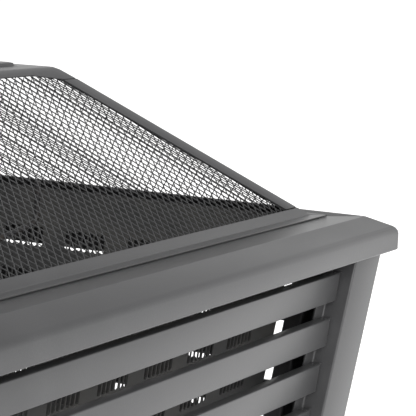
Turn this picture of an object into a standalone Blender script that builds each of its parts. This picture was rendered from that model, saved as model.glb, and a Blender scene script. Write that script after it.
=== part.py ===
"""Square slatted fire pit with a lift-off spark screen and a log grate.

Metres, +Z up. The origin is on the ground at the centre of the pit, and the
sides face -Y (front), +X (right), +Y (back) and -X (left). Each side is
modelled once as the front one and turned about Z by quarter turns.

A depth is measured inwards from the rim's outer face, so a point of the front
side at a depth of d has y = -HALF + d.
"""
import math

import bmesh
import bpy
from mathutils import Matrix, Vector

# ------------------------------------------------------------ driving sizes
SIDE = 0.760                # outer side of the square rim
RIM_TOP = 0.385             # height of the rim's flat band
RIM_DROP = 0.033            # from the flat band to the foot of the skirt
BEVEL_WIDTH = 0.025         # plan width of the bevelled edge, skirt to flat band
BEVEL_DROP = 0.0118         # fall of the bevel from the flat band to the skirt's plane
RIM_WIDTH = 0.070           # from the skirt to the rim's inner edge
RIM_HEM = 0.006             # inturned edge at the foot of the skirt
RIM_BEND = 0.008            # radius between skirt and bevel
TAPER = 0.1286              # each side leans in by this much for each unit down
SHEET = 0.0012              # steel sheet of the rim, legs, firebox and screen frame
GAP = 0.0003                # clearance left between touching pieces

LEG_INSET = 0.0088          # leg face behind the skirt, at the height of the bevel's foot
LEG_FACE = 0.0577           # width of each face of a corner leg
LEG_RISE = 0.0014           # how far a leg stands up past the bevel's foot
LEG_RETURN = 0.0108         # depth of the leg's folded edges
FOOT = 0.046                # side of the foot plate welded in each leg
FOOT_THICKNESS = 0.003

SLAT_COUNT = 6
SLAT_PITCH = 0.0435
SLAT_HEIGHT = 0.0272
SLAT_FIRST_DROP = 0.0478    # from the flat band to the first slat's top
SLAT_SIDE_RAISE = 0.0085    # the right and left slats sit this much higher than the others
SLAT_FLANGE = 0.0085        # depth of the slat's top and bottom folds, square to its face
SLAT_END_GAP = 0.0066       # open space between slat and leg, at the slat's top
SLAT_SHEET = 0.0010
TAB_REACH = 0.022           # the slat's tongue inside the leg
TAB_DEPTH = 0.002           # tongue's outer edge behind the slat's face
TAB_WIDTH = 0.006
TAB_BELOW = 0.0012          # tongue's lower and upper faces, from the slat's top edge
TAB_ABOVE = 0.0004

WALL_INSET = 0.0722         # firebox wall behind the skirt, just under the rim
WALL_FLANGE = 0.010
WALL_DROP = 0.2135          # from the flat band to the firebox's bottom edge
FLOOR_LIP = 0.006
FLOOR_THICKNESS = 0.0015

VENT_ROWS = 4
VENT_ROW_PITCH = 0.0435
VENT_FIRST_DROP = 0.0583    # from the flat band to the middle of the first row
VENT_GROUPS = 7
VENT_GROUP_PITCH = 0.0736
VENT_WIDTH = 0.047
VENT_HEIGHT = 0.020
VENT_SIDE_RAISE = SLAT_SIDE_RAISE   # right and left vents stand level with their slats
VENT_CUT_DEPTH = 0.012

SCREEN_INSET = 0.0524       # screen's outer edge behind the skirt
SCREEN_SLOPE = 0.7785       # rise over run of its four panels
SCREEN_FOLD = 0.0643        # where its flat flange turns up into the slope
SCREEN_COLLAR = 0.0733      # top edge of the folded collar
CAP_EDGE = 0.2284           # lower edge of the cap
CAP_FOLD = 0.2395           # where the cap turns from the slope to its flat top
CAP_STEP = 0.0265           # width of the ledge round the cap's raised middle
CAP_RAISE = 0.0035
CAP_BEND = 0.003            # where the cap's rounded fold starts, down the slope
CAP_BEND_DROP = 0.0008      # middle of the fold below the ledge
CAP_SOFT = 0.004            # width of the fold's upper part and of the middle's rise
HIP_WIDTH = 0.0215          # each hip strip's width, measured level along a panel
MESH_SHEET = 0.0015
MESH_FOOT_MARGIN = 0.005    # mesh edges behind the rail's fold, under the cap and in the hips
MESH_TOP_MARGIN = 0.006
MESH_SIDE_MARGIN = 0.004

HANDLE_SPAN = 0.120
HANDLE_RISE = 0.038
HANDLE_RADIUS = 0.005
HANDLE_BEND = 0.014

GRATE_BARS = 5
GRATE_BAR_PITCH = 0.049
GRATE_HALF_LENGTH = 0.178
GRATE_BAR_RADIUS = 0.003
GRATE_LEG_RADIUS = 0.004
GRATE_DROP = 0.0215         # bar's axis below the rim's flat band
GRATE_FLAT = 0.090          # half length of the bar's level middle
GRATE_CRADLE_RADIUS = 0.37
GRATE_BEND = 0.010
GRATE_TIP = 0.030
GRATE_LEG_X = 0.075
GRATE_LEG_OVERHANG = 0.010  # leg frame past the outer bars
GRATE_LEG_BEND = 0.016

SCREEN_LIFT = 0.300
GRATE_LIFT = 0.070

HALF = SIDE / 2
RIM_FOOT = RIM_TOP - RIM_DROP
BEVEL_FOOT = RIM_TOP - BEVEL_DROP
SIDES = ("front", "right", "back", "left")
CORNERS = ("front_right", "back_right", "back_left", "front_left")


# ------------------------------------------------------------- scene set-up
for old in list(bpy.data.objects):
    bpy.data.objects.remove(old, do_unlink=True)

PARTS = bpy.data.collections.new("fire_pit")
CUTTERS = bpy.data.collections.new("cutters")
for collection in (PARTS, CUTTERS):
    bpy.context.scene.collection.children.link(collection)


def steel(name, colour, roughness, metallic):
    """A painted or coated steel, as one Principled material."""
    material = bpy.data.materials.new(name)
    material.use_nodes = True
    shader = material.node_tree.nodes["Principled BSDF"]
    shader.inputs["Base Color"].default_value = (*colour, 1.0)
    shader.inputs["Roughness"].default_value = roughness
    shader.inputs["Metallic"].default_value = metallic
    return material


POWDER_COAT = steel("graphite_powder_coat", (0.130, 0.130, 0.135), 0.50, 0.15)
STOVE_PAINT = steel("black_stove_paint", (0.020, 0.020, 0.021), 0.75, 0.0)
MESH_PAINT = steel("black_mesh_paint", (0.035, 0.035, 0.037), 0.60, 0.1)
GRATE_STEEL = steel("black_grate_steel", (0.040, 0.040, 0.042), 0.50, 0.4)


def body_anchor(name, location):
    """An empty that marks where a lift-off body's slide starts."""
    anchor = bpy.data.objects.new(name, None)
    anchor.location = location
    PARTS.objects.link(anchor)
    return anchor


SCREEN = body_anchor("screen_anchor", (0.0, 0.0, RIM_TOP))
GRATE = body_anchor("grate_anchor", (0.0, 0.0, RIM_TOP - WALL_DROP))


# ---------------------------------------------------------------- helpers
def depth_at(inset, z):
    """Depth of a tapered face at height z, from its inset at the bevel's foot."""
    return inset + TAPER * (BEVEL_FOOT - z)


def folded(outline, thickness):
    """Close an open sheet outline by its copy offset to the left by a thickness."""
    points = [Vector(p) for p in outline]
    inner = []
    for i, point in enumerate(points):
        before = (point - points[i - 1]).normalized() if i > 0 else None
        after = (points[i + 1] - point).normalized() if i + 1 < len(points) else None
        before = before or after
        after = after or before
        left_a = Vector((-before.y, before.x))
        left_b = Vector((-after.y, after.x))
        middle = (left_a + left_b).normalized()
        inner.append(point + middle * thickness / middle.dot(left_a))
    return points + inner[::-1]


def keep(obj, material, anchor=None):
    """Give an object its material and its body's anchor."""
    obj.data.materials.clear()
    obj.data.materials.append(material)
    if anchor:
        obj.parent = anchor
        obj.matrix_parent_inverse = Matrix.Translation(anchor.location).inverted()
    return obj


def loft(name, rings, quarter=0, collection=PARTS):
    """A closed solid through matching rings of points, turned by quarter turns."""
    bm = bmesh.new()
    loops = [[bm.verts.new(p) for p in ring] for ring in rings]
    for low, high in zip(loops, loops[1:]):
        for i in range(len(low)):
            j = (i + 1) % len(low)
            bm.faces.new((low[i], low[j], high[j], high[i]))
    bm.faces.new(loops[0])
    bm.faces.new(loops[-1])
    bmesh.ops.recalc_face_normals(bm, faces=bm.faces[:])
    turn = Matrix.Rotation(math.radians(90.0 * quarter), 3, "Z")
    bmesh.ops.rotate(bm, matrix=turn, verts=bm.verts[:])
    mesh = bpy.data.meshes.new(name)
    bm.to_mesh(mesh)
    bm.free()
    obj = bpy.data.objects.new(name, mesh)
    collection.objects.link(obj)
    return obj


def mitred(section, margin=GAP):
    """Two end rings of a front-side section of (depth, z), cut on the corners' diagonals."""
    left = [(-(HALF - d - margin), -HALF + d, z) for d, z in section]
    right = [(HALF - d - margin, -HALF + d, z) for d, z in section]
    return left, right


def boolean(obj, other, operation):
    """Cut from, or weld to, an object. The other one becomes a cutter."""
    for collection in list(other.users_collection):
        collection.objects.unlink(other)
    CUTTERS.objects.link(other)
    other.hide_render = True
    other.display_type = "WIRE"
    modifier = obj.modifiers.new(operation.lower(), "BOOLEAN")
    modifier.operation = operation
    modifier.object = other


def box(name, low, high, quarter=0, collection=PARTS):
    """A box between two corners."""
    ring = [(low[0], low[1]), (high[0], low[1]), (high[0], high[1]), (low[0], high[1])]
    rings = [[(x, y, z) for x, y in ring] for z in (low[2], high[2])]
    return loft(name, rings, quarter, collection)


def rod(name, points, radius, material, anchor=None):
    """A round bar bent through the given points, with filled ends."""
    curve = bpy.data.curves.new(name, "CURVE")
    curve.dimensions = "3D"
    curve.bevel_depth = radius
    curve.bevel_resolution = 2
    curve.use_fill_caps = True
    spline = curve.splines.new("POLY")
    spline.points.add(len(points) - 1)
    for slot, point in zip(spline.points, points):
        slot.co = (*point, 1.0)
    obj = bpy.data.objects.new(name, curve)
    PARTS.objects.link(obj)
    return keep(obj, material, anchor)


def arc(centre, radius, start, end, steps):
    """Points of a plane arc, angles in degrees."""
    for i in range(steps + 1):
        angle = math.radians(start + (end - start) * i / steps)
        yield centre[0] + radius * math.cos(angle), centre[1] + radius * math.sin(angle)


# -------------------------------------------------------------------- rim
def rim_rails():
    """Four mitred rails: hem, skirt, rounded bend, bevel and flat band in one sheet."""
    bevel_angle = math.atan2(BEVEL_DROP, BEVEL_WIDTH)
    turn = math.pi / 2 - bevel_angle
    bend_z = BEVEL_FOOT - RIM_BEND * math.tan(turn / 2)
    outline = [(RIM_HEM, RIM_FOOT), (0.0, RIM_FOOT)]
    outline += list(arc((RIM_BEND, bend_z), RIM_BEND, 180.0, 90.0 + math.degrees(bevel_angle), 4))
    outline += [(BEVEL_WIDTH, RIM_TOP), (RIM_WIDTH, RIM_TOP)]
    section = folded(outline[::-1], SHEET)
    for quarter, side in enumerate(SIDES):
        keep(loft(f"rim_rail_{side}", mitred(section), quarter), POWDER_COAT)


# ------------------------------------------------------------------- legs
def legs():
    """Corner legs: two faces with folded edges, leaning in with both sides, and a foot."""
    top = BEVEL_FOOT + LEG_RISE
    outline = [(-LEG_FACE, LEG_RETURN), (-LEG_FACE, 0.0), (0.0, 0.0), (0.0, LEG_FACE),
               (-LEG_RETURN, LEG_FACE)]
    section = folded(outline, SHEET)

    def ring(z):
        lean = depth_at(LEG_INSET, z)
        return [(HALF - lean + x, -HALF + lean + y, z) for x, y in section]

    for quarter, corner in enumerate(CORNERS):
        leg = keep(loft(f"leg_{corner}", (ring(0.0), ring(top)), quarter), POWDER_COAT)
        near = HALF - depth_at(LEG_INSET, 0.0) - SHEET / 2
        low = (near - FOOT, -near, 0.0)
        high = (near, -near + FOOT, FOOT_THICKNESS)
        boolean(leg, box(f"foot_{corner}", low, high, quarter), "UNION")


# ------------------------------------------------------------------ slats
def slats():
    """Folded channel slats between the legs, each with a tongue that enters both legs."""
    for quarter, side in enumerate(SIDES):
        raised = SLAT_SIDE_RAISE if side in ("right", "left") else 0.0
        for row in range(SLAT_COUNT):
            top = RIM_TOP - SLAT_FIRST_DROP - SLAT_PITCH * row + raised
            one_slat(f"slat_{side}_{row + 1}", top, quarter)


def one_slat(name, top, quarter):
    """A slat with square-cut ends whose folds are square to its leaning face."""
    foot = top - SLAT_HEIGHT
    face_top = depth_at(LEG_INSET, top) + LEG_RETURN
    face_foot = depth_at(LEG_INSET, foot) + LEG_RETURN
    lean = math.atan(TAPER)
    inwards = SLAT_FLANGE * math.cos(lean)
    rise = SLAT_FLANGE * math.sin(lean)
    outline = [(face_foot + inwards, foot + rise), (face_foot, foot), (face_top, top),
               (face_top + inwards, top + rise)]
    section = folded(outline[::-1], SLAT_SHEET)
    leg_edge = HALF - depth_at(LEG_INSET, top) - LEG_FACE
    end = leg_edge - SLAT_END_GAP
    rings = [[(sign * end, -HALF + d, z) for d, z in section] for sign in (-1.0, 1.0)]
    slat = keep(loft(name, rings, quarter), POWDER_COAT)
    tongue_end = leg_edge + TAB_REACH
    tongue_y = -HALF + face_top + TAB_DEPTH
    low = (-tongue_end, tongue_y, top - TAB_BELOW)
    high = (tongue_end, tongue_y + TAB_WIDTH, top + TAB_ABOVE)
    boolean(slat, box(f"tongue_{name}", low, high, quarter), "UNION")


# ---------------------------------------------------------------- firebox
def firebox():
    """Four tapered walls hung under the rim, with rows of vents, and a floor."""
    top = RIM_TOP - SHEET - GAP
    foot = RIM_TOP - WALL_DROP
    inset = WALL_INSET + TAPER * (top - BEVEL_FOOT)
    outline = [(WALL_INSET - WALL_FLANGE, top), (WALL_INSET, top), (depth_at(inset, foot), foot)]
    section = folded(outline, -SHEET)
    for quarter, side in enumerate(SIDES):
        wall = keep(loft(f"firebox_wall_{side}", mitred(section), quarter), STOVE_PAINT)
        boolean(wall, vent_cutter(side, inset, quarter), "DIFFERENCE")
    reach = HALF - depth_at(inset, foot) + FLOOR_LIP
    low = (-reach, -reach, foot - GAP - FLOOR_THICKNESS)
    high = (reach, reach, foot - GAP)
    keep(box("firebox_floor", low, high), STOVE_PAINT)


def vent_cutter(side, inset, quarter):
    """All the vent groups of one wall, each cut as one window, as one cutter mesh."""
    bm = bmesh.new()
    raised = VENT_SIDE_RAISE if side in ("right", "left") else 0.0
    for row in range(VENT_ROWS):
        z = RIM_TOP - VENT_FIRST_DROP - VENT_ROW_PITCH * row + raised
        y = -HALF + depth_at(inset, z)
        for group in range(VENT_GROUPS):
            x = (group - (VENT_GROUPS - 1) / 2) * VENT_GROUP_PITCH
            place = Matrix.Translation((x, y, z)) @ Matrix.Diagonal(
                (VENT_WIDTH, VENT_CUT_DEPTH, VENT_HEIGHT, 1.0))
            bmesh.ops.create_cube(bm, size=1.0, matrix=place)
    turn = Matrix.Rotation(math.radians(90.0 * quarter), 3, "Z")
    bmesh.ops.rotate(bm, matrix=turn, verts=bm.verts[:])
    mesh = bpy.data.meshes.new(f"vents_{side}")
    bm.to_mesh(mesh)
    bm.free()
    obj = bpy.data.objects.new(f"vents_{side}", mesh)
    CUTTERS.objects.link(obj)
    return obj


# ------------------------------------------------------------ spark screen
def screen_height(depth):
    """Height of the screen's sloping outer surface at a depth."""
    flange_top = RIM_TOP + GAP + SHEET
    return flange_top + SCREEN_SLOPE * (depth - SCREEN_FOLD)


def screen_base():
    """Four mitred base rails: a flange on the rim, folded up into the slope."""
    flange_top = RIM_TOP + GAP + SHEET
    outline = [(SCREEN_INSET, flange_top), (SCREEN_FOLD, flange_top),
               (SCREEN_COLLAR, screen_height(SCREEN_COLLAR))]
    section = folded(outline, -SHEET)
    for quarter, side in enumerate(SIDES):
        keep(loft(f"screen_rail_{side}", mitred(section), quarter), POWDER_COAT, SCREEN)


def below(drop):
    """Vertical offset that takes a sloping surface down by a thickness."""
    return drop * math.hypot(1.0, SCREEN_SLOPE)


def screen_hips():
    """Four folded hip strips on the corners of the screen, from base rail to cap."""
    lean = math.sin(math.atan(SCREEN_SLOPE))
    start = SCREEN_COLLAR + SHEET * lean + GAP
    end = CAP_EDGE - GAP

    def ring(depth):
        z = screen_height(depth)
        x, y = HALF - depth, -HALF + depth
        outer = [(x - HIP_WIDTH, y, z), (x, y, z), (x, y + HIP_WIDTH, z)]
        drop = below(SHEET)
        return outer + [(px, py, z - drop) for px, py, pz in outer[::-1]]

    for quarter, corner in enumerate(CORNERS):
        strip = loft(f"screen_hip_{corner}", (ring(start), ring(end)), quarter)
        keep(strip, POWDER_COAT, SCREEN)


def screen_panels():
    """Four mesh panels as thin plates, held under the rails, hips and cap."""
    drop = below(SHEET + GAP)
    thick = below(MESH_SHEET)
    start = SCREEN_FOLD + MESH_FOOT_MARGIN
    end = CAP_FOLD - MESH_TOP_MARGIN

    def ring(depth):
        x = HALF - depth - MESH_SIDE_MARGIN
        y = -HALF + depth
        z = screen_height(depth) - drop
        return [(-x, y, z), (x, y, z), (x, y, z - thick), (-x, y, z - thick)]

    for quarter, side in enumerate(SIDES):
        panel = loft(f"screen_mesh_{side}", (ring(start), ring(end)), quarter)
        keep(panel, MESH_PAINT, SCREEN)


def screen_cap():
    """Pressed cap: sloping edge, rounded fold, ledge and raised middle."""
    fold_z = screen_height(CAP_FOLD)
    step = CAP_FOLD + CAP_STEP
    bend = CAP_FOLD - CAP_BEND
    profile = [(CAP_EDGE, screen_height(CAP_EDGE)), (bend, screen_height(bend)),
               (CAP_FOLD, fold_z - CAP_BEND_DROP), (CAP_FOLD + CAP_SOFT, fold_z),
               (step, fold_z), (step + CAP_SOFT, fold_z + CAP_RAISE)]
    bm = bmesh.new()
    loops = []
    for depth, z in profile:
        reach = HALF - depth
        square = [(-reach, -reach), (reach, -reach), (reach, reach), (-reach, reach)]
        loops.append([bm.verts.new((x, y, z)) for x, y in square])
    for low, high in zip(loops, loops[1:]):
        for i in range(4):
            j = (i + 1) % 4
            bm.faces.new((low[i], low[j], high[j], high[i]))
    bm.faces.new(loops[-1])
    mesh = bpy.data.meshes.new("screen_cap")
    bm.to_mesh(mesh)
    bm.free()
    cap = bpy.data.objects.new("screen_cap", mesh)
    PARTS.objects.link(cap)
    wall = cap.modifiers.new("sheet", "SOLIDIFY")
    wall.thickness = SHEET
    wall.offset = -1.0
    wall.use_even_offset = True
    keep(cap, POWDER_COAT, SCREEN)


def screen_handle():
    """A bent round-bar handle that stands on the cap."""
    foot = screen_height(CAP_FOLD) + CAP_RAISE + GAP
    half = HANDLE_SPAN / 2
    top = foot + HANDLE_RISE
    points = [(-half, foot)]
    points += list(arc((-half + HANDLE_BEND, top - HANDLE_BEND), HANDLE_BEND, 180.0, 90.0, 4))
    points += list(arc((half - HANDLE_BEND, top - HANDLE_BEND), HANDLE_BEND, 90.0, 0.0, 4))
    points += [(half, foot)]
    rod("screen_handle", [(x, 0.0, z) for x, z in points], HANDLE_RADIUS, POWDER_COAT, SCREEN)


# -------------------------------------------------------------- log grate
def grate_bars():
    """Cradle bars: level in the middle, rising gently, then turned up at both ends."""
    level = RIM_TOP - GRATE_DROP
    stop = GRATE_HALF_LENGTH - GRATE_BEND
    swing = math.asin((stop - GRATE_FLAT) / GRATE_CRADLE_RADIUS)
    rise = []
    for i in range(5):
        angle = swing * i / 4
        rise.append((GRATE_FLAT + GRATE_CRADLE_RADIUS * math.sin(angle),
                     level + GRATE_CRADLE_RADIUS * (1.0 - math.cos(angle))))
    start = math.degrees(swing) - 90.0
    centre = (stop - GRATE_BEND * math.sin(swing), rise[-1][1] + GRATE_BEND * math.cos(swing))
    bend = list(arc(centre, GRATE_BEND, start, 0.0, 4))[1:]
    half = rise + bend + [(bend[-1][0], bend[-1][1] + GRATE_TIP)]
    profile = [(-x, z) for x, z in half[::-1]] + half
    for number in range(GRATE_BARS):
        y = (number - (GRATE_BARS - 1) / 2) * GRATE_BAR_PITCH
        points = [(x, y, z) for x, z in profile]
        rod(f"grate_bar_{number + 1}", points, GRATE_BAR_RADIUS, GRATE_STEEL, GRATE)


def grate_legs():
    """Two leg frames under the bars: a cross rod bent down to the firebox floor."""
    top = RIM_TOP - GRATE_DROP - GRATE_BAR_RADIUS - GAP - GRATE_LEG_RADIUS
    foot = RIM_TOP - WALL_DROP
    reach = GRATE_BAR_PITCH * (GRATE_BARS - 1) / 2 + GRATE_LEG_OVERHANG
    points = [(-reach, foot)]
    points += list(arc((-reach + GRATE_LEG_BEND, top - GRATE_LEG_BEND), GRATE_LEG_BEND, 180.0, 90.0, 4))
    points += list(arc((reach - GRATE_LEG_BEND, top - GRATE_LEG_BEND), GRATE_LEG_BEND, 90.0, 0.0, 4))
    points += [(reach, foot)]
    for name, x in (("left", -GRATE_LEG_X), ("right", GRATE_LEG_X)):
        path = [(x, y, z) for y, z in points]
        rod(f"grate_leg_{name}", path, GRATE_LEG_RADIUS, GRATE_STEEL, GRATE)


rim_rails()
legs()
slats()
firebox()
screen_base()
screen_hips()
screen_panels()
screen_cap()
screen_handle()
grate_bars()
grate_legs()
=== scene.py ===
"""Square slatted fire pit with a lift-off spark screen and a log grate.

Metres, +Z up. The origin is on the ground at the centre of the pit, and the
sides face -Y (front), +X (right), +Y (back) and -X (left). Like pieces are
made once on the front side and turned about Z by quarter turns. A depth is
measured inwards from the rim's outer face.
"""
import math

import bmesh
import bpy
from mathutils import Matrix, Quaternion, Vector


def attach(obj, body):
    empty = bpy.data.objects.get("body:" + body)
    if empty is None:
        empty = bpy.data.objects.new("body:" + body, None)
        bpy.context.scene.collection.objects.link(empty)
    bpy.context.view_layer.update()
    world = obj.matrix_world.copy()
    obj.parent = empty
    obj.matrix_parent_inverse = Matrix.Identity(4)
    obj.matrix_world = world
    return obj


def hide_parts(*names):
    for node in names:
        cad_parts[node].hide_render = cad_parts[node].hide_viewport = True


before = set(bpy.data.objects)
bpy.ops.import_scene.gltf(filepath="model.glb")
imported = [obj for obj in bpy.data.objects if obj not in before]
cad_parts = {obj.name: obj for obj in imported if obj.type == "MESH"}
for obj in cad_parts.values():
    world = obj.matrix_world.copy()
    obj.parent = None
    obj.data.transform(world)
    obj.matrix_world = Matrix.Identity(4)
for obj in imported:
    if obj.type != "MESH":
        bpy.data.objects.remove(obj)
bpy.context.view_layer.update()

# ------------------------------------------------------------------ camera
# A long lens set low, close to the left end of the front side.
CAMERA_PLACE = (-1.2766, -1.0690, 0.6406)
CAMERA_AIM = Vector((0.87017, 0.47202, -0.14139))
CAMERA_ROLL = math.radians(2.104)
LENS_MM = 162.33

camera = bpy.data.objects.new("camera", bpy.data.cameras.new("camera"))
camera.data.sensor_width = 36.0
camera.data.lens = LENS_MM
camera.data.clip_start = 0.05
camera.location = CAMERA_PLACE
camera.rotation_mode = "QUATERNION"
camera.rotation_quaternion = (CAMERA_AIM.to_track_quat("-Z", "Y")
                              @ Quaternion((0.0, 0.0, 1.0), CAMERA_ROLL))
bpy.context.scene.collection.objects.link(camera)
bpy.context.scene.camera = camera


# -------------------------------------------------------- floor and lights
# A plain near-white studio floor lit from within, with a bright horizon all
# round, a darker ceiling and one large soft box over the front left.
FLOOR_RADIUS = 14.0
FLOOR_WHITE = "#f4f4f3"
FLOOR_GLOW = 0.60
FLOOR_DROP = 0.0005             # keeps the floor clear of the feet
HORIZON_LIGHT = 1.10
CEILING_LIGHT = 0.60
SOFT_BOX_POWER = 150.0
SOFT_BOX_SIZE = 2.6
SOFT_BOX_PLACE = Vector((-2.2, -3.4, 2.6))


def srgb(text):
    """An sRGB hex colour as linear RGBA."""
    parts = [int(text[i:i + 2], 16) / 255 for i in (1, 3, 5)]
    return tuple(p / 12.92 if p <= 0.04045 else ((p + 0.055) / 1.055) ** 2.4
                 for p in parts) + (1.0,)


def add_node(tree, kind, links=None, **settings):
    """Adds a node. Settings are its options or its inputs (spaces as _), links its fed inputs."""
    node = tree.nodes.new("ShaderNode" + kind)
    for key, value in settings.items():
        if hasattr(node, key):
            setattr(node, key, value)
        else:
            node.inputs[key.replace("_", " ")].default_value = value
    for key, socket in (links or {}).items():
        tree.links.new(socket, node.inputs[key])
    return node


def new_material(name):
    """An empty material with its shader: (tree, shader)."""
    material = bpy.data.materials.new(name)
    material.use_nodes = True
    return material, material.node_tree, material.node_tree.nodes["Principled BSDF"]


def deselect_all():
    """Leaves edit mode with nothing selected."""
    if bpy.context.object and bpy.context.object.mode != "OBJECT":
        bpy.ops.object.mode_set(mode="OBJECT")
    bpy.ops.object.select_all(action="DESELECT")


deselect_all()
bpy.ops.mesh.primitive_circle_add(vertices=96, radius=FLOOR_RADIUS, fill_type="NGON",
                                  location=(0.0, 0.0, -FLOOR_DROP))
floor = bpy.context.object
floor.name = "studio_floor"
floor_paint, tree, shader = new_material("matt_floor_paint")
shader.inputs["Roughness"].default_value = 0.9
shader.inputs["Emission Color"].default_value = (1.0, 1.0, 1.0, 1.0)
shader.inputs["Emission Strength"].default_value = FLOOR_GLOW
place = add_node(tree, "TexCoord").outputs["Object"]
mottle = add_node(tree, "TexNoise", {"Vector": place}, Scale=3.0)
tint = add_node(tree, "MixRGB", {"Fac": mottle.outputs["Fac"]},
                Color1=srgb(FLOOR_WHITE), Color2=srgb("#f7f7f7"))
tree.links.new(tint.outputs["Color"], shader.inputs["Base Color"])
floor.data.materials.append(floor_paint)

world = bpy.data.worlds.new("studio")
world.use_nodes = True
bpy.context.scene.world = world
tree = world.node_tree
way = add_node(tree, "TexCoord").outputs["Generated"]
height = add_node(tree, "SeparateXYZ", {"Vector": way}).outputs["Z"]
fade = add_node(tree, "MapRange", {"Value": height}, interpolation_type="SMOOTHSTEP",
                From_Min=0.05, From_Max=0.55, To_Min=HORIZON_LIGHT, To_Max=CEILING_LIGHT)
tree.links.new(fade.outputs["Result"], tree.nodes["Background"].inputs["Strength"])
tree.nodes["Background"].inputs["Color"].default_value = (1.0, 1.0, 1.0, 1.0)

soft_box = bpy.data.objects.new("soft_box", bpy.data.lights.new("soft_box", "AREA"))
soft_box.data.energy = SOFT_BOX_POWER
soft_box.data.size = SOFT_BOX_SIZE
soft_box.location = SOFT_BOX_PLACE
soft_box.rotation_mode = "QUATERNION"
soft_box.rotation_quaternion = (Vector((0.0, 0.0, 0.3)) - SOFT_BOX_PLACE).to_track_quat("-Z", "Y")
bpy.context.scene.collection.objects.link(soft_box)
bpy.context.scene.view_settings.view_transform = "Standard"


# --------------------------------------------------------------- rim rails
# Four lengths of mild steel sheet, each folded into a hem, a skirt, a bevel
# and a flat band, mitred and welded at the corners, then powder coated.
SIDE = 0.760
HALF = SIDE / 2
RIM_TOP = 0.385
RIM_FOOT = RIM_TOP - 0.033
BEVEL_WIDTH = 0.025
BEVEL_FOOT = RIM_TOP - 0.0118
RIM_WIDTH = 0.070
RIM_HEM = 0.006
SHEET = 0.0012
GAP = 0.0003
BAND_FOLD = 0.0007              # how far each fold's rounding reaches from its corner
SKIRT_FOLD = 0.0050
HEM_FOLD = 0.0016
SIDES = ("front", "right", "back", "left")

# Powder coat is a baked polyester film: an even graphite grey with a soft sheen
# and a fine orange peel, a little darker and glossier where it has flowed.
GRAPHITE = "#3c3c3d"
GRAPHITE_PALE = "#464647"
ORANGE_PEEL = 0.0016        # real peel is about half this, drawn coarse enough to show
GRAIN = 0.0006
COAT_CLOUD = 0.060

powder_coat, tree, shader = new_material("graphite_powder_coat")
place = add_node(tree, "TexCoord").outputs["Object"]
cloud = add_node(tree, "TexNoise", {"Vector": place}, Scale=1 / COAT_CLOUD, Detail=3.0)
grain = add_node(tree, "TexNoise", {"Vector": place}, Scale=1 / GRAIN, Detail=1.0)
peel = add_node(tree, "TexNoise", {"Vector": place}, Scale=1 / ORANGE_PEEL, Detail=2.0)
blend = add_node(tree, "Math", {0: cloud.outputs["Fac"], 1: grain.outputs["Fac"]},
                 operation="MULTIPLY")
spread = add_node(tree, "MapRange", {"Value": blend.outputs[0]},
                  From_Min=0.10, From_Max=0.42)
tone = add_node(tree, "MixRGB", {"Fac": spread.outputs["Result"]},
                Color1=srgb(GRAPHITE), Color2=srgb(GRAPHITE_PALE))
sheen = add_node(tree, "MapRange", {"Value": cloud.outputs["Fac"]}, To_Min=0.28, To_Max=0.38)
bump = add_node(tree, "Bump", {"Height": peel.outputs["Fac"]}, Strength=0.10, Distance=0.0004)
tree.links.new(tone.outputs["Color"], shader.inputs["Base Color"])
tree.links.new(sheen.outputs["Result"], shader.inputs["Roughness"])
tree.links.new(bump.outputs["Normal"], shader.inputs["Normal"])
shader.inputs["IOR"].default_value = 1.5


def edit_selection(kind="VERT"):
    """Enters edit mode on the active piece, with nothing selected."""
    if bpy.context.object.mode != "EDIT":
        bpy.ops.object.mode_set(mode="EDIT")
    bpy.ops.mesh.select_mode(type=kind)
    bpy.ops.mesh.select_all(action="DESELECT")
    return bmesh.from_edit_mesh(bpy.context.object.data)


def pick(test, kind="VERT"):
    """Selects what has every corner pass a test of its place."""
    mesh = edit_selection(kind)
    mesh.verts.ensure_lookup_table()
    if kind == "VERT":
        for vert in mesh.verts:
            vert.select_set(test(vert.co))
    else:
        for item in (mesh.edges if kind == "EDGE" else mesh.faces):
            if all(test(vert.co) for vert in item.verts):
                item.select_set(True)
    bmesh.update_edit_mesh(bpy.context.object.data)


def near(point, reach=1e-5):
    """A test for corners at a point."""
    return lambda co: (co - point).length < reach


def drawn_line(name, points):
    """Starts a piece as an open line: one corner of a plane, drawn on from point to point."""
    deselect_all()
    points = [Vector(p) for p in points]
    size = 0.01
    bpy.ops.mesh.primitive_plane_add(
        size=size, location=points[0] + Vector((size / 2, size / 2, 0.0)))
    bpy.context.object.name = bpy.context.object.data.name = name
    bpy.ops.object.transform_apply()
    pick(lambda co: (co - points[0]).length > 1e-4)
    bpy.ops.mesh.delete(type="VERT")
    for start, end in zip(points, points[1:]):
        pick(near(start))
        bpy.ops.mesh.extrude_vertices_move(TRANSFORM_OT_translate={"value": end - start})
    return bpy.context.object


def drawn_out(way):
    """Draws the whole open line out into a sheet."""
    edit_selection("EDGE")
    bpy.ops.mesh.select_all(action="SELECT")
    bpy.ops.mesh.extrude_edges_move(TRANSFORM_OT_translate={"value": way})


def round_fold(point, way, offset, segments):
    """Rounds the fold that runs from a point along the way the sheet was drawn out."""
    way = Vector(way).normalized()
    point = Vector(point)
    pick(lambda co: (co - point).cross(way).length < 1e-5, "EDGE")
    bpy.ops.mesh.bevel(offset_type="OFFSET", offset=offset, segments=segments, profile=0.5,
                       affect="EDGES")


def face_out(way):
    """Turns the sheet's faces so that most of them look towards a direction."""
    edit_selection("FACE")
    bpy.ops.mesh.select_all(action="SELECT")
    bpy.ops.mesh.normals_make_consistent(inside=False)
    mesh = bmesh.from_edit_mesh(bpy.context.object.data)
    if sum(f.normal.dot(Vector(way)) * f.calc_area() for f in mesh.faces) < 0.0:
        bpy.ops.mesh.flip_normals()


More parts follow.
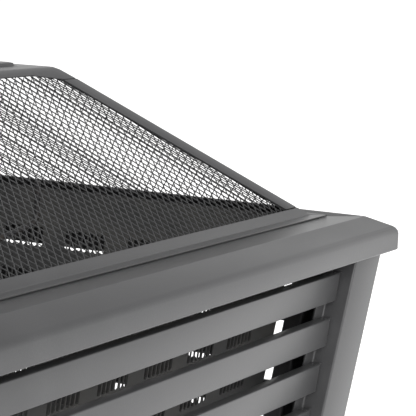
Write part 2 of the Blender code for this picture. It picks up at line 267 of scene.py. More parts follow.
def apply_modifier(piece, kind, **settings):
    """Adds a modifier and applies it."""
    if piece.mode != "OBJECT":
        bpy.ops.object.mode_set(mode="OBJECT")
    modifier = piece.modifiers.new(kind.lower(), kind)
    for key, value in settings.items():
        setattr(modifier, key, value)
    bpy.ops.object.modifier_apply(modifier=modifier.name)


def give_thickness(piece, thickness):
    """Gives the sheet its gauge, on its inner side."""
    apply_modifier(piece, "SOLIDIFY", thickness=thickness, offset=-1.0, use_even_offset=True)


def cut_off(point, way):
    """Saws off what lies beyond a plane, and closes the cut."""
    edit_selection("FACE")
    bpy.ops.mesh.select_all(action="SELECT")
    bpy.ops.mesh.bisect(plane_co=point, plane_no=Vector(way).normalized(), use_fill=True,
                        clear_outer=True)


def mitre(gap=GAP):
    """Saws both ends of a front-side piece on the corners' diagonals."""
    for sign in (-1.0, 1.0):
        cut_off((0.0, -gap, 0.0), (sign, 1.0, 0.0))


def soften(piece, width=0.00025, segments=2):
    """Breaks the sharp edges as the coating does, and shades the piece."""
    apply_modifier(piece, "BEVEL", width=width, segments=segments, limit_method="ANGLE",
                   angle_limit=math.radians(50.0))
    bpy.ops.object.shade_smooth_by_angle(angle=math.radians(35.0))


def turned_copies(piece, names, turns=(0, 1, 2, 3)):
    """Turns the front piece round the pit by quarter turns: one piece for each name."""
    made = []
    for quarter, name in zip(turns, names):
        deselect_all()
        piece.select_set(True)
        bpy.context.view_layer.objects.active = piece
        bpy.ops.object.duplicate(linked=False)
        copy = bpy.context.object
        copy.name = copy.data.name = name
        copy.rotation_euler = (0.0, 0.0, math.radians(90.0 * quarter))
        bpy.ops.object.transform_apply()
        made.append(copy)
    bpy.data.objects.remove(piece, do_unlink=True)
    return made


def fit(piece, body, nodes, material):
    """Finishes a piece: its coating, the body it rides on, and the nodes that it stands for."""
    piece.data.materials.clear()
    piece.data.materials.append(material)
    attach(piece, body)
    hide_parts(*nodes)


def front(depth, z, x=0.0):
    """A point of the front side, from its depth and height."""
    return Vector((x, -HALF + depth, z))


band_edge = front(RIM_WIDTH, RIM_TOP, -HALF)
band_fold = front(BEVEL_WIDTH, RIM_TOP, -HALF)
bevel_fold = front(0.0, BEVEL_FOOT, -HALF)
hem_fold = front(0.0, RIM_FOOT, -HALF)
rail = drawn_line("rim_rail", [band_edge, band_fold, bevel_fold, hem_fold,
                               front(RIM_HEM, RIM_FOOT, -HALF)])
drawn_out((SIDE, 0.0, 0.0))
round_fold(band_fold, (1, 0, 0), BAND_FOLD, 3)
round_fold(bevel_fold, (1, 0, 0), SKIRT_FOLD, 3)
round_fold(hem_fold, (1, 0, 0), HEM_FOLD, 4)
face_out((0.0, -0.5, 1.0))
give_thickness(rail, SHEET)
mitre()
soften(rail)
for side, piece in zip(SIDES, turned_copies(rail, [f"rim_rail_{s}_sheet" for s in SIDES])):
    fit(piece, "pit", [f"rim_rail_{side}"], powder_coat)


# -------------------------------------------------------------------- legs
# Four corner legs in the same sheet, each folded to a right angle with both
# edges turned in and out again behind the slats, leaning, with a welded foot.
TAPER = 0.1286
LEG_INSET = 0.0088
LEG_FACE = 0.0577
LEG_POCKET = 0.0225             # depth of the inturned edge behind the leg's face
LEG_LIP = 0.018                 # its last fold, behind the ends of the slats
LEG_RISE = 0.0014               # how far a leg stands up past the bevel's foot
LEG_TOP = BEVEL_FOOT + LEG_RISE
LEG_FOLD = 0.0020
FOOT_SIZE = 0.046
FOOT_THICKNESS = 0.003
FOOT_ROUNDING = 0.0006
CORNERS = ("front_right", "back_right", "back_left", "front_left")


def depth_at(inset, z):
    """Depth of a leaning face at a height, from its inset at the bevel's foot."""
    return inset + TAPER * (BEVEL_FOOT - z)


def leg_corner(across, along, z=LEG_TOP):
    """A point of the front right leg, from its outer corner at a height."""
    lean = depth_at(LEG_INSET, z)
    return Vector((HALF - lean + across, -HALF + lean + along, z))


leg_way = Vector((-TAPER, TAPER, -1.0)) * LEG_TOP
folds = [leg_corner(-LEG_FACE, LEG_POCKET), leg_corner(-LEG_FACE, 0.0), leg_corner(0.0, 0.0),
         leg_corner(0.0, LEG_FACE), leg_corner(-LEG_POCKET, LEG_FACE)]
leg = drawn_line("leg", [leg_corner(-LEG_FACE - LEG_LIP, LEG_POCKET), *folds,
                         leg_corner(-LEG_POCKET, LEG_FACE + LEG_LIP)])
drawn_out(leg_way)
for fold in folds:
    round_fold(fold, leg_way, LEG_FOLD, 4)
face_out((1.0, -1.0, 0.0))
give_thickness(leg, SHEET)
cut_off((0.0, 0.0, 0.0), (0.0, 0.0, -1.0))
soften(leg)

deselect_all()
foot_corner = HALF - depth_at(LEG_INSET, 0.0) - SHEET
foot_middle = foot_corner - FOOT_SIZE / 2
bpy.ops.mesh.primitive_cube_add(size=1.0, scale=(FOOT_SIZE, FOOT_SIZE, FOOT_THICKNESS),
                                location=(foot_middle, -foot_middle, FOOT_THICKNESS / 2))
foot = bpy.context.object
bpy.ops.object.transform_apply()
edit_selection("FACE")
bpy.ops.mesh.select_all(action="SELECT")
bpy.ops.mesh.bevel(offset=FOOT_ROUNDING, segments=2, affect="EDGES")
deselect_all()
foot.select_set(True)
leg.select_set(True)
bpy.context.view_layer.objects.active = leg
bpy.ops.object.join()
bpy.ops.object.shade_smooth_by_angle(angle=math.radians(35.0))
for corner, piece in zip(CORNERS, turned_copies(leg, [f"leg_{c}_sheet" for c in CORNERS])):
    fit(piece, "pit", [f"leg_{corner}"], powder_coat)


# ------------------------------------------------------------------- slats
# Six channels a side, folded from thinner sheet and cut square, each with a
# tongue at both ends that enters the legs, held by two small rivets.
SLAT_COUNT = 6
SLAT_PITCH = 0.0435
SLAT_HEIGHT = 0.0272
SLAT_FIRST_DROP = 0.0478
SLAT_SIDE_RAISE = 0.0085        # right and left slats sit this much higher
SLAT_FLANGE = 0.0085
SLAT_END_GAP = 0.0066
SLAT_SETBACK = 0.0108           # slat face behind the leg's face
SLAT_SHEET = 0.0010
SLAT_FOLD = 0.0012
FINE_EDGE = 0.0002              # rounding left by the coating on thin pieces' edges
TAB_REACH = 0.022
TAB_LAP = 0.010                 # how far the tongue runs back under the slat's fold
TAB_DROP = 0.0002
TAB_DEPTH = 0.002
TAB_WIDTH = 0.006
RIVET_RADIUS = 0.0009
RIVET_HEIGHT = 0.0006
RIVET_INSET = 0.0060
RIVET_DEPTHS = (0.0022, 0.0062)


def join_to(piece, others):
    """Welds loose parts to a piece."""
    deselect_all()
    for other in others:
        other.select_set(True)
    piece.select_set(True)
    bpy.context.view_layer.objects.active = piece
    bpy.ops.object.join()
    bpy.ops.object.shade_smooth_by_angle(angle=math.radians(35.0))


def rivet(place):
    """A small domed rivet head standing on a fold."""
    deselect_all()
    bpy.ops.mesh.primitive_cylinder_add(vertices=12, radius=RIVET_RADIUS, depth=RIVET_HEIGHT,
                                        location=place)
    bpy.ops.object.transform_apply()
    pick(lambda co: co.z > place[2] + RIVET_HEIGHT * 0.4, "FACE")
    bpy.ops.mesh.bevel(offset=RIVET_HEIGHT * 0.8, segments=3, affect="EDGES")
    bpy.ops.object.mode_set(mode="OBJECT")
    return bpy.context.object


def tongue(start, end, y, z):
    """A flat tongue with rounded edges."""
    deselect_all()
    bpy.ops.mesh.primitive_cube_add(
        size=1.0, scale=(abs(end - start), TAB_WIDTH, SLAT_SHEET),
        location=((start + end) / 2, y + TAB_WIDTH / 2, z - SLAT_SHEET / 2))
    bpy.ops.object.transform_apply()
    edit_selection("FACE")
    bpy.ops.mesh.select_all(action="SELECT")
    bpy.ops.mesh.bevel(offset=FINE_EDGE, segments=2, affect="EDGES")
    bpy.ops.object.mode_set(mode="OBJECT")
    return bpy.context.object


def front_slat(top):
    """One slat of the front side, with its tongues and rivets."""
    below = top - SLAT_HEIGHT
    face_top = depth_at(LEG_INSET, top) + SLAT_SETBACK
    face_foot = depth_at(LEG_INSET, below) + SLAT_SETBACK
    lean = math.atan(TAPER)
    inwards = SLAT_FLANGE * math.cos(lean)
    rise = SLAT_FLANGE * math.sin(lean)
    leg_edge = HALF - depth_at(LEG_INSET, top) - LEG_FACE
    end = leg_edge - SLAT_END_GAP
    upper_fold = front(face_top, top, -end)
    lower_fold = front(face_foot, below, -end)
    slat = drawn_line("slat", [front(face_top + inwards, top + rise, -end), upper_fold,
                               lower_fold, front(face_foot + inwards, below + rise, -end)])
    drawn_out((2 * end, 0.0, 0.0))
    round_fold(upper_fold, (1, 0, 0), SLAT_FOLD, 3)
    round_fold(lower_fold, (1, 0, 0), SLAT_FOLD, 3)
    face_out((0.0, -1.0, 0.0))
    give_thickness(slat, SLAT_SHEET)
    soften(slat, FINE_EDGE)
    parts = []
    for sign in (-1.0, 1.0):
        parts.append(tongue(sign * (end - TAB_LAP), sign * (leg_edge + TAB_REACH),
                            -HALF + face_top + TAB_DEPTH, top - TAB_DROP))
        for depth in RIVET_DEPTHS:
            parts.append(rivet((sign * (end - RIVET_INSET), -HALF + face_top + depth,
                                top + depth * math.tan(lean) + RIVET_HEIGHT * 0.4)))
    join_to(slat, parts)
    return slat


for row in range(SLAT_COUNT):
    top = RIM_TOP - SLAT_FIRST_DROP - SLAT_PITCH * row
    for raised, turns in ((0.0, (0, 2)), (SLAT_SIDE_RAISE, (1, 3))):
        slat = front_slat(top + raised)
        nodes = [f"slat_{SIDES[turn]}_{row + 1}" for turn in turns]
        for node, piece in zip(nodes, turned_copies(slat, [f"{n}_channel" for n in nodes], turns)):
            fit(piece, "pit", [node], powder_coat)


# ----------------------------------------------------------------- firebox
# A stove-painted steel box hung under the rim: four leaning walls, punched
# with rows of narrow upright slots in groups of seven, and a welded floor.
WALL_INSET = 0.0722
WALL_FLANGE = 0.010
WALL_TOP = RIM_TOP - SHEET - GAP
WALL_DROP = 0.2135              # from the flat band to the walls' bottom edge
WALL_FOOT = RIM_TOP - WALL_DROP
VENT_ROWS = 4
VENT_ROW_PITCH = 0.0435
VENT_FIRST_DROP = 0.0583
VENT_GROUPS = 7
VENT_GROUP_PITCH = 0.0736
VENT_HEIGHT = 0.020
SLOTS = 7
SLOT_PITCH = 0.0069
SLOT_WIDTH = 0.0056

# High-heat stove paint: a dead matt black, its base colour painted lighter to a
# dark grey as painted light, standing in for the light inside the firebox; a
# little paler and browner in random patches, with a fine sprayed tooth.
STOVE_GREY_PAINTED_LIGHT = "#464646"
STOVE_CHALK = "#545351"
CHALK_PATCH = 0.045
SPRAY_TOOTH = 0.0009

stove_paint, tree, shader = new_material("black_stove_paint")
place = add_node(tree, "TexCoord").outputs["Object"]
chalk = add_node(tree, "TexNoise", {"Vector": place}, Scale=1 / CHALK_PATCH, Detail=4.0)
patch = add_node(tree, "MapRange", {"Value": chalk.outputs["Fac"]}, From_Min=0.42, From_Max=0.66)
# base: the painted-light dark grey, mixed with paler random patches
tone = add_node(tree, "MixRGB", {"Fac": patch.outputs["Result"]},
                Color1=srgb(STOVE_GREY_PAINTED_LIGHT), Color2=srgb(STOVE_CHALK))
tooth = add_node(tree, "TexNoise", {"Vector": place}, Scale=1 / SPRAY_TOOTH, Detail=2.0)
bump = add_node(tree, "Bump", {"Height": tooth.outputs["Fac"]}, Strength=0.2, Distance=0.0003)
rough = add_node(tree, "MapRange", {"Value": patch.outputs["Result"]}, To_Min=0.55, To_Max=0.75)
tree.links.new(tone.outputs["Color"], shader.inputs["Base Color"])
tree.links.new(rough.outputs["Result"], shader.inputs["Roughness"])
tree.links.new(bump.outputs["Normal"], shader.inputs["Normal"])


def slot_tile(centre_z):
    """One slot with rounded ends in its own piece of sheet, standing in the plane y = 0."""
    deselect_all()
    reach = SLOT_WIDTH / 2 / math.cos(math.radians(22.5))
    bpy.ops.mesh.primitive_circle_add(vertices=8, radius=reach, fill_type="NOTHING")
    tile = bpy.context.object
    tile.rotation_euler = (math.radians(90.0), 0.0, 0.0)
    bpy.ops.object.transform_apply()
    tile.rotation_euler = (0.0, math.radians(22.5), 0.0)
    bpy.ops.object.transform_apply()
    for sign in (-1.0, 1.0):
        pick(lambda co, sign=sign: co.z * sign > 0.0)
        bpy.ops.transform.translate(value=(0.0, 0.0, sign * (VENT_HEIGHT / 2 - reach)))
    pick(lambda co: True, "EDGE")
    bpy.ops.mesh.extrude_edges_move()
    bpy.ops.transform.resize(value=(SLOT_PITCH / SLOT_WIDTH, 1.0, 1.0),
                             center_override=(0.0, 0.0, 0.0))
    rim = [v.index for v in bmesh.from_edit_mesh(tile.data).verts if v.select]
    for sign in (-1.0, 1.0):
        mesh = edit_selection()
        mesh.verts.ensure_lookup_table()
        for index in rim:
            mesh.verts[index].select_set(mesh.verts[index].co.z * sign > 0.0)
        bmesh.update_edit_mesh(tile.data)
        edge = sign * VENT_ROW_PITCH / 2
        bpy.ops.transform.resize(value=(1.0, 1.0, 0.0), center_override=(0.0, 0.0, edge))
    bpy.ops.object.mode_set(mode="OBJECT")
    tile.location = (0.0, 0.0, centre_z)
    bpy.ops.object.transform_apply()
    return tile


def repeat(piece, count, step):
    """Sets copies side by side and joins their edges."""
    apply_modifier(piece, "ARRAY", count=count, use_relative_offset=False,
                   use_constant_offset=True, constant_offset_displace=step,
                   use_merge_vertices=True, merge_threshold=0.00005)


def widen(test, way):
    """Draws the boundary edges that pass a test further out."""
    pick(test, "EDGE")
    bpy.ops.mesh.extrude_edges_move(TRANSFORM_OT_translate={"value": way})


def firebox_wall(raised):
    """A front wall: rows of slots in flat sheet, leant in, with a flange under the rim."""
    first_row = RIM_TOP - VENT_FIRST_DROP + raised
    lowest_row = first_row - (VENT_ROWS - 1) * VENT_ROW_PITCH
    wall = slot_tile(lowest_row)
    wall.name = wall.data.name = "firebox_wall"
    repeat(wall, SLOTS, (SLOT_PITCH, 0.0, 0.0))
    group_end = SLOT_PITCH * (SLOTS - 0.5)
    widen(lambda co: abs(co.x - group_end) < 1e-5,
          (VENT_GROUP_PITCH - SLOT_PITCH * SLOTS, 0.0, 0.0))
    repeat(wall, VENT_GROUPS, (VENT_GROUP_PITCH, 0.0, 0.0))
    repeat(wall, VENT_ROWS, (0.0, 0.0, VENT_ROW_PITCH))
    wall.location.x = -(VENT_GROUP_PITCH * (VENT_GROUPS - 1) + SLOT_PITCH * (SLOTS - 1)) / 2
    bpy.ops.object.transform_apply()
    right_end = max(v.co.x for v in wall.data.vertices)
    left_end = min(v.co.x for v in wall.data.vertices)
    widen(lambda co: abs(co.x - right_end) < 1e-5, (HALF - right_end, 0.0, 0.0))
    widen(lambda co: abs(co.x - left_end) < 1e-5, (-HALF - left_end, 0.0, 0.0))
    low_edge = lowest_row - VENT_ROW_PITCH / 2
    high_edge = first_row + VENT_ROW_PITCH / 2
    widen(lambda co: abs(co.z - low_edge) < 1e-5, (0.0, 0.0, WALL_FOOT - low_edge))
    widen(lambda co: abs(co.z - high_edge) < 1e-5, (0.0, 0.0, WALL_TOP - high_edge))
    bpy.ops.object.mode_set(mode="OBJECT")
    for vertex in wall.data.vertices:       # lean the standing sheet in towards its foot
        vertex.co.y = -HALF + WALL_INSET + TAPER * (WALL_TOP - vertex.co.z)
    widen(lambda co: abs(co.z - WALL_TOP) < 1e-5, (0.0, -WALL_FLANGE, 0.0))
    face_out((0.0, -1.0, 0.0))
    give_thickness(wall, SHEET)
    mitre()
    bpy.ops.object.mode_set(mode="OBJECT")
    bpy.ops.object.shade_smooth_by_angle(angle=math.radians(35.0))
    return wall


for raised, turns in ((0.0, (0, 2)), (SLAT_SIDE_RAISE, (1, 3))):
    nodes = [f"firebox_wall_{SIDES[turn]}" for turn in turns]
    names = [f"{node}_slotted" for node in nodes]
    for node, piece in zip(nodes, turned_copies(firebox_wall(raised), names, turns)):
        fit(piece, "pit", [node], stove_paint)

firebox_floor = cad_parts["firebox_floor"]
for material_slot in firebox_floor.material_slots:
    material_slot.material = stove_paint


# ------------------------------------------------------- screen base rails
# The screen's bottom frame: four strips of sheet with a flange that rests on
# the rim, folded up into the slope of the mesh, mitred and welded.
SCREEN_INSET = 0.0524
SCREEN_SLOPE = 0.7785
SCREEN_FOLD = 0.0643
SCREEN_COLLAR = 0.0733
SCREEN_ROUNDING = 0.0008
FLANGE_TOP = RIM_TOP + GAP + SHEET


def screen_height(depth):
    """Height of the screen's sloping outer surface at a depth."""
    return FLANGE_TOP + SCREEN_SLOPE * (depth - SCREEN_FOLD)


flange_fold = front(SCREEN_FOLD, FLANGE_TOP, -HALF)
base = drawn_line("screen_rail", [front(SCREEN_INSET, FLANGE_TOP, -HALF), flange_fold,
                                  front(SCREEN_COLLAR, screen_height(SCREEN_COLLAR), -HALF)])
drawn_out((SIDE, 0.0, 0.0))
round_fold(flange_fold, (1, 0, 0), SCREEN_ROUNDING, 3)
face_out((0.0, -0.5, 1.0))
give_thickness(base, SHEET)
mitre()
soften(base, FINE_EDGE)
for side, piece in zip(SIDES, turned_copies(base, [f"screen_rail_{s}_strip" for s in SIDES])):
    fit(piece, "screen", [f"screen_rail_{side}"], powder_coat)


# -------------------------------------------------------------- screen hips
# Four strips folded along the corners of the screen, spot welded over the
# edges of the mesh, from the base rail up to the cap.
HIP_WIDTH = 0.0215
HIP_FOLD = 0.0012
HIP_START = SCREEN_COLLAR + SHEET * math.sin(math.atan(SCREEN_SLOPE)) + GAP
CAP_EDGE = 0.2327
GUSSET_EDGE = 0.2263            # depth to which the cap's corners reach down the hips
GUSSET_LENGTH = 0.0405


def hip_point(depth, across=0.0, along=0.0):
    """A point of the front right corner, on the screen's outer surface."""
    return Vector((HALF - depth - across, -HALF + depth + along, screen_height(depth)))


hip_way = hip_point(GUSSET_EDGE - GAP) - hip_point(HIP_START)
hip_fold = hip_point(HIP_START)
hip = drawn_line("screen_hip", [hip_point(HIP_START, HIP_WIDTH), hip_fold,
                                hip_point(HIP_START, 0.0, HIP_WIDTH)])
drawn_out(hip_way)
round_fold(hip_fold, hip_way, HIP_FOLD, 3)
face_out((1.0, -1.0, 1.0))
give_thickness(hip, SHEET)
soften(hip, FINE_EDGE)
for corner, piece in zip(CORNERS, turned_copies(hip, [f"screen_hip_{c}_strip" for c in CORNERS])):
    fit(piece, "screen", [f"screen_hip_{corner}"], powder_coat)


# ------------------------------------------------------------- screen mesh
# Expanded steel: sheet slit and stretched into diamonds, whose strands stand
# at a slant. The long way of the diamonds runs up the slope.
MESH_LONG = 0.0133
MESH_SHORT = 0.0092
STRAND = 0.0008
STRAND_SHEET = 0.0007
STRAND_SLANT = 0.0002           # how far a strand's edges stand off the sheet's middle
CAP_FOLD = 0.2395
MESH_START = SCREEN_FOLD + 0.005        # just above the base rail's fold
MESH_END = CAP_FOLD - 0.006             # just under the cap's fold
MESH_MARGIN = 0.004                     # from the corner line, inside the hip
MESH_CLEARANCE = 0.0004
MESH_DROP = (SHEET + GAP + MESH_CLEARANCE) * math.hypot(1.0, SCREEN_SLOPE)
WELD = 0.00002                          # corners closer than this are one

# Stoved black enamel over the cut strands, greyer and rougher in random patches.
MESH_BLACK = "#363637"
MESH_GREY = "#464647"
ENAMEL_PATCH = 0.009

mesh_paint, tree, shader = new_material("black_mesh_enamel")
place = add_node(tree, "TexCoord").outputs["Object"]
patch = add_node(tree, "TexNoise", {"Vector": place}, Scale=1 / ENAMEL_PATCH, Detail=3.0)
tone = add_node(tree, "MixRGB", {"Fac": patch.outputs["Fac"]},
                Color1=srgb(MESH_BLACK), Color2=srgb(MESH_GREY))
rough = add_node(tree, "MapRange", {"Value": patch.outputs["Fac"]}, To_Min=0.38, To_Max=0.6)
tree.links.new(tone.outputs["Color"], shader.inputs["Base Color"])
tree.links.new(rough.outputs["Result"], shader.inputs["Roughness"])


def diamond_panel():
    """The front panel, stretched flat on the floor first, then trimmed and leant."""
    slope = math.hypot(1.0, SCREEN_SLOPE)
    length = (MESH_END - MESH_START) * slope
    width = 2 * (HALF - MESH_START - MESH_MARGIN)
    deselect_all()
    bpy.ops.mesh.primitive_plane_add(size=math.sqrt(0.5))
    panel = bpy.context.object
    panel.name = panel.data.name = "screen_mesh"
    panel.rotation_euler = (0.0, 0.0, math.radians(45.0))
    bpy.ops.object.transform_apply()
    panel.scale = (MESH_SHORT, MESH_LONG, 1.0)
    bpy.ops.object.transform_apply()
    edit_selection("FACE")
    bpy.ops.mesh.select_all(action="SELECT")
    bpy.ops.mesh.inset(thickness=STRAND / 2)
    bpy.ops.mesh.delete(type="ONLY_FACE")
    for sign in (-1.0, 1.0):
        pick(lambda co, sign=sign: 1e-4 < sign * co.x < MESH_SHORT / 2 - 1e-5 and abs(co.y) < 1e-5)
        bpy.ops.transform.translate(value=(0.0, 0.0, sign * STRAND_SLANT))
    bpy.ops.mesh.select_all(action="SELECT")
    bpy.ops.mesh.duplicate_move(TRANSFORM_OT_translate={
        "value": (MESH_SHORT / 2, MESH_LONG / 2, 0.0)})
    bpy.ops.mesh.select_all(action="SELECT")
    bpy.ops.mesh.remove_doubles(threshold=WELD)
    bpy.ops.object.mode_set(mode="OBJECT")
    across = math.ceil(width / 2 / MESH_SHORT) * 2 + 1
    up = math.ceil(length / MESH_LONG) + 2
    repeat(panel, across, (MESH_SHORT, 0.0, 0.0))
    repeat(panel, up, (0.0, MESH_LONG, 0.0))
    panel.location = (-(across - 1) / 2 * MESH_SHORT, -MESH_LONG, 0.0)
    bpy.ops.object.transform_apply()
    cut_off((0.0, 0.0, 0.0), (0.0, -1.0, 0.0))
    cut_off((0.0, length, 0.0), (0.0, 1.0, 0.0))
    for sign in (-1.0, 1.0):
        cut_off((sign * width / 2, 0.0, 0.0), (sign * slope, 1.0, 0.0))
    bpy.ops.mesh.select_all(action="SELECT")
    bpy.ops.mesh.remove_doubles(threshold=WELD)
    bpy.ops.object.mode_set(mode="OBJECT")
    give_thickness(panel, STRAND_SHEET)
    panel.rotation_euler = (math.atan(SCREEN_SLOPE), 0.0, 0.0)
    panel.location = front(MESH_START, screen_height(MESH_START) - MESH_DROP)
    bpy.ops.object.transform_apply()
    return panel


panel = diamond_panel()
for side, piece in zip(SIDES, turned_copies(panel, [f"screen_mesh_{s}_diamonds" for s in SIDES])):
    fit(piece, "screen", [f"screen_mesh_{side}"], mesh_paint)


# --------------------------------------------------------------- screen cap
# One pressing that closes the top of the screen: a raised middle, a flat ledge
# with a rounded fold, and a sloping edge that reaches further down the hips.
CAP_STEP = 0.0265
CAP_RAISE = 0.0035
CAP_CORNER = 0.003
CAP_SLANT = 0.004               # plan width of the middle's pressed rise
CAP_BEND = 0.003                # how far down the slope the rounded fold starts
CAP_LIFT = 0.0004               # the gussets lie this much proud, over the hips

fold_z = screen_height(CAP_FOLD)
step_depth = CAP_FOLD + CAP_STEP
reach, height = HALF - step_depth - CAP_SLANT, fold_z + CAP_RAISE
deselect_all()
bpy.ops.mesh.primitive_plane_add(size=2 * reach, location=(0.0, 0.0, height))
cap = bpy.context.object
cap.name = cap.data.name = "screen_cap_pressing"
bpy.ops.object.transform_apply()
edit_selection("VERT")
bpy.ops.mesh.select_all(action="SELECT")
bpy.ops.mesh.bevel(affect="VERTICES", offset=CAP_CORNER, segments=4)
press_steps = [(step_depth + 0.25 * CAP_SLANT, fold_z + 0.8 * CAP_RAISE),
               (step_depth, fold_z + 0.2 * CAP_RAISE), (step_depth - 0.5 * CAP_SLANT, fold_z)]
fold_steps = [(CAP_FOLD + 0.0040, fold_z), (CAP_FOLD + 0.0015, fold_z - 0.0003),
              (CAP_FOLD - 0.0005, fold_z - 0.0012),
              (CAP_FOLD - CAP_BEND, screen_height(CAP_FOLD - CAP_BEND))]
for depth, z in press_steps + fold_steps + [(CAP_EDGE, screen_height(CAP_EDGE))]:
    edit_selection("EDGE")
    bpy.ops.mesh.select_all(action="SELECT")
    bpy.ops.mesh.region_to_loop()
    bpy.ops.mesh.extrude_edges_move(TRANSFORM_OT_translate={"value": (0.0, 0.0, z - height)})
    grow = (HALF - depth) / reach
    bpy.ops.transform.resize(value=(grow, grow, 1.0), center_override=(0.0, 0.0, z))
    reach, height = HALF - depth, z
four_ways = [Vector(way) for way in ((1, 0, 0), (-1, 0, 0), (0, 1, 0), (0, -1, 0))]
gusset_end = HALF - GUSSET_EDGE - HIP_WIDTH
for place in (gusset_end - GUSSET_LENGTH, gusset_end):
    for way in four_ways:
        bpy.ops.mesh.select_all(action="SELECT")
        bpy.ops.mesh.bisect(plane_co=way * place, plane_no=way)
drop = CAP_EDGE - GUSSET_EDGE
for way in four_ways:
    pick(lambda co: (co.z < height + 1e-6 and co.dot(way) > reach - 2 * CAP_CORNER
                     and min(abs(co.x), abs(co.y)) > gusset_end - 1e-5))
    bpy.ops.transform.translate(value=way * drop)
pick(lambda co: co.z < height + 1e-6 and min(abs(co.x), abs(co.y)) > gusset_end - 1e-5)
bpy.ops.transform.translate(value=(0.0, 0.0, CAP_LIFT - drop * SCREEN_SLOPE))
face_out((0.0, 0.0, 1.0))
give_thickness(cap, SHEET)
soften(cap, FINE_EDGE)
fit(cap, "screen", ["screen_cap"], powder_coat)


# ------------------------------------------------------------ screen handle
# A bow of round bar that stands on the cap's middle, with a small washer
# plate welded round each foot.
HANDLE_SPAN = 0.120
HANDLE_RISE = 0.038
HANDLE_RADIUS = 0.005
HANDLE_BEND = 0.014
WASHER_RADIUS = 0.010
WASHER_ROUNDING = 0.0004
HANDLE_CLEARANCE = 0.0001       # keeps the bow inside its CAD solid


def round_bar(name, points, radius, bends, segments=6):
    """Bends a round bar through points, with a rounded corner at each inner one."""
    bar = drawn_line(name, points)
    for point, bend in zip(points[1:-1], bends):
        pick(near(Vector(point)))
        bpy.ops.mesh.bevel(affect="VERTICES", offset_type="OFFSET", offset=bend,
                           segments=segments)
    bpy.ops.object.mode_set(mode="OBJECT")
    bpy.ops.object.convert(target="CURVE")
    bar = bpy.context.object
    bar.data.bevel_depth = radius
    bar.data.bevel_resolution = 4
    bar.data.use_fill_caps = True
    bpy.ops.object.convert(target="MESH")
    bar = bpy.context.object
    apply_modifier(bar, "BEVEL", width=radius * 0.18, segments=2, limit_method="ANGLE",
                   angle_limit=math.radians(60.0))
    bpy.ops.object.shade_smooth_by_angle(angle=math.radians(40.0))
    return bar


handle_foot = screen_height(CAP_FOLD) + CAP_RAISE + GAP
handle_top = handle_foot + HANDLE_RISE - HANDLE_CLEARANCE
half_span = HANDLE_SPAN / 2
handle = round_bar("handle_bow", [(-half_span, 0, handle_foot), (-half_span, 0, handle_top),
                                  (half_span, 0, handle_top), (half_span, 0, handle_foot)],
                   HANDLE_RADIUS, (HANDLE_BEND, HANDLE_BEND), 8)
washers = []
for sign in (-1.0, 1.0):
    deselect_all()
    bpy.ops.mesh.primitive_cylinder_add(vertices=32, radius=WASHER_RADIUS, depth=SHEET,
                                        location=(sign * half_span, 0, handle_foot + SHEET / 2))
    bpy.ops.object.transform_apply()
    edit_selection("FACE")
    bpy.ops.mesh.select_all(action="SELECT")
    bpy.ops.mesh.bevel(offset=WASHER_ROUNDING, segments=2, affect="EDGES")
    bpy.ops.object.mode_set(mode="OBJECT")
    washers.append(bpy.context.object)
join_to(handle, washers)
fit(handle, "screen", ["screen_handle"], powder_coat)


# ---------------------------------------------------------------- log grate
# Five round bars, level in the middle and turned up at both ends to hold the
# logs, welded across two leg frames that stand on the firebox floor.
GRATE_BARS = 5
GRATE_BAR_PITCH = 0.049
GRATE_HALF_LENGTH = 0.178
GRATE_BAR_RADIUS = 0.003
GRATE_LEG_RADIUS = 0.004
GRATE_LEVEL = RIM_TOP - 0.0215
GRATE_FLAT = 0.090
GRATE_CRADLE_RADIUS = 0.37
GRATE_BEND = 0.010
GRATE_TIP = 0.030
GRATE_LEG_X = 0.075
GRATE_LEG_BEND = 0.016
GRATE_LEG_OVERHANG = 0.010
GRATE_TIP_SHIFT = 0.0006        # keeps the tips within the bar's length
GRATE_ROUNDING = 0.7            # rounding of the upturn, as a share of its bend
GRATE_SOFT = 0.004              # rounding between the cradle's short straights

# Bar stock with its mill scale under a thin black stove finish: blue-black,
# with dull brown heat stain in patches.
SCALE_BLACK = "#2e2e30"
SCALE_BROWN = "#3d3733"
STAIN_PATCH = 0.018
SCALE_PITS = 0.0012

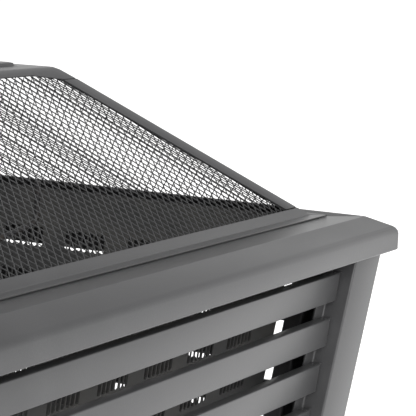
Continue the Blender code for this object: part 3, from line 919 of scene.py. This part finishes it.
grate_steel, tree, shader = new_material("scaled_bar_steel")
place = add_node(tree, "TexCoord").outputs["Object"]
stain = add_node(tree, "TexNoise", {"Vector": place}, Scale=1 / STAIN_PATCH, Detail=5.0)
patch = add_node(tree, "MapRange", {"Value": stain.outputs["Fac"]}, From_Min=0.45, From_Max=0.62)
tone = add_node(tree, "MixRGB", {"Fac": patch.outputs["Result"]},
                Color1=srgb(SCALE_BLACK), Color2=srgb(SCALE_BROWN))
pits = add_node(tree, "TexNoise", {"Vector": place}, Scale=1 / SCALE_PITS, Detail=3.0)
bump = add_node(tree, "Bump", {"Height": pits.outputs["Fac"]}, Strength=0.25, Distance=0.0003)
rough = add_node(tree, "MapRange", {"Value": patch.outputs["Result"]}, To_Min=0.4, To_Max=0.62)
tree.links.new(tone.outputs["Color"], shader.inputs["Base Color"])
tree.links.new(rough.outputs["Result"], shader.inputs["Roughness"])
tree.links.new(bump.outputs["Normal"], shader.inputs["Normal"])
shader.inputs["Metallic"].default_value = 0.35

stop = GRATE_HALF_LENGTH - GRATE_BEND
swing = math.asin((stop - GRATE_FLAT) / GRATE_CRADLE_RADIUS)
rise = [(GRATE_FLAT + GRATE_CRADLE_RADIUS * math.sin(swing * i / 6),
         GRATE_LEVEL + GRATE_CRADLE_RADIUS * (1.0 - math.cos(swing * i / 6))) for i in range(7)]
turned = GRATE_BEND * math.cos(swing)
tip = rise[-1][1] + turned + GRATE_TIP
corner = (GRATE_HALF_LENGTH - GRATE_TIP_SHIFT, rise[-1][1] + GRATE_BEND * math.tan(swing))
half_bar = rise[:-1] + [corner, (corner[0], tip)]
profile = [(-x, z) for x, z in half_bar[::-1]] + half_bar
upturn = GRATE_BEND * GRATE_ROUNDING
bends = [upturn] + [GRATE_SOFT] * (len(profile) - 4) + [upturn]
for number in range(GRATE_BARS):
    y = (number - (GRATE_BARS - 1) / 2) * GRATE_BAR_PITCH
    bar = round_bar(f"grate_bar_{number + 1}_rod", [(x, y, z) for x, z in profile],
                    GRATE_BAR_RADIUS, bends, 4)
    fit(bar, "grate", [f"grate_bar_{number + 1}"], grate_steel)

leg_top = GRATE_LEVEL - GRATE_BAR_RADIUS - GAP - GRATE_LEG_RADIUS
leg_reach = GRATE_BAR_PITCH * (GRATE_BARS - 1) / 2 + GRATE_LEG_OVERHANG
for name, x in (("left", -GRATE_LEG_X), ("right", GRATE_LEG_X)):
    path = [(x, -leg_reach, WALL_FOOT), (x, -leg_reach, leg_top),
            (x, leg_reach, leg_top), (x, leg_reach, WALL_FOOT)]
    frame_leg = round_bar(f"grate_leg_{name}_frame", path, GRATE_LEG_RADIUS,
                          (GRATE_LEG_BEND, GRATE_LEG_BEND), 8)
    fit(frame_leg, "grate", [f"grate_leg_{name}"], grate_steel)
